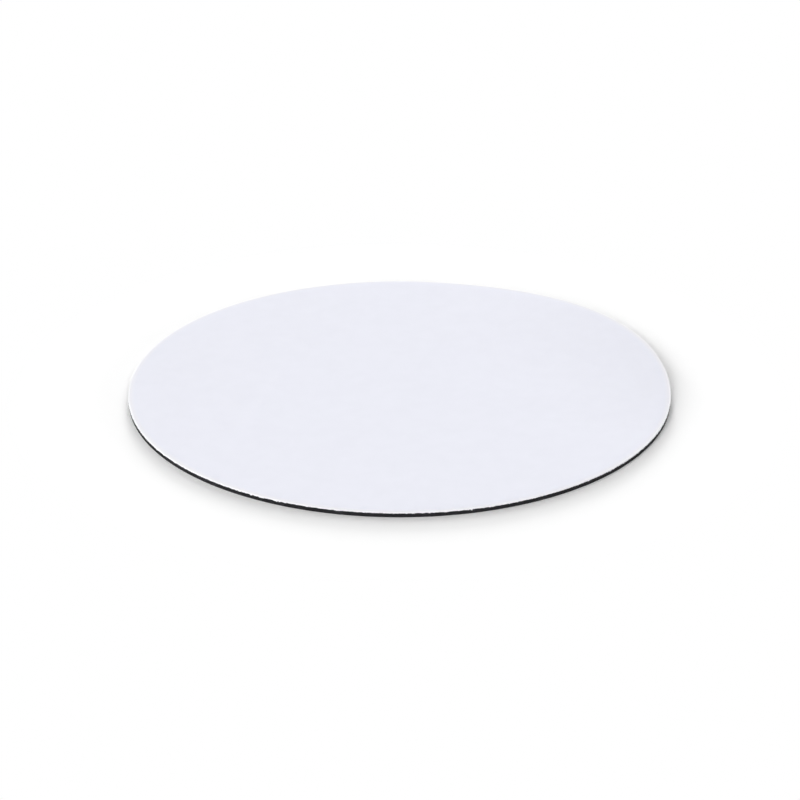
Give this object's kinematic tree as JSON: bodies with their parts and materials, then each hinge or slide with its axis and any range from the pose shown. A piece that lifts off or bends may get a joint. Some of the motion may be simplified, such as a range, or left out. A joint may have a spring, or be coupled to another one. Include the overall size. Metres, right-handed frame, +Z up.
{
  "type": "mouse pad",
  "caption": "Thin round mouse pad: a smooth white cloth top laminated onto a black sponge rubber base, with a plain die-cut edge.",
  "frame": {"origin": "centre of the flat underside, on the surface that the pad lies on", "axes": "+Z up through the pad's centre; the pad is round about Z, so +X and +Y are any two directions in its plane"},
  "size_m": [0.2, 0.2, 0.002],
  "materials": {
    "sponge_rubber": "matt black, finely porous sponge rubber, cut edge slightly hollow",
    "laminating_film": "translucent off-white hot-melt film",
    "white_cloth": "fine matt polyester knit, cool white, no print and no stitching"
  },
  "bodies": {
    "root": {"rubber_base": "sponge_rubber", "adhesive_film": "laminating_film", "top_cloth": "white_cloth"}
  },
  "joints": []
}
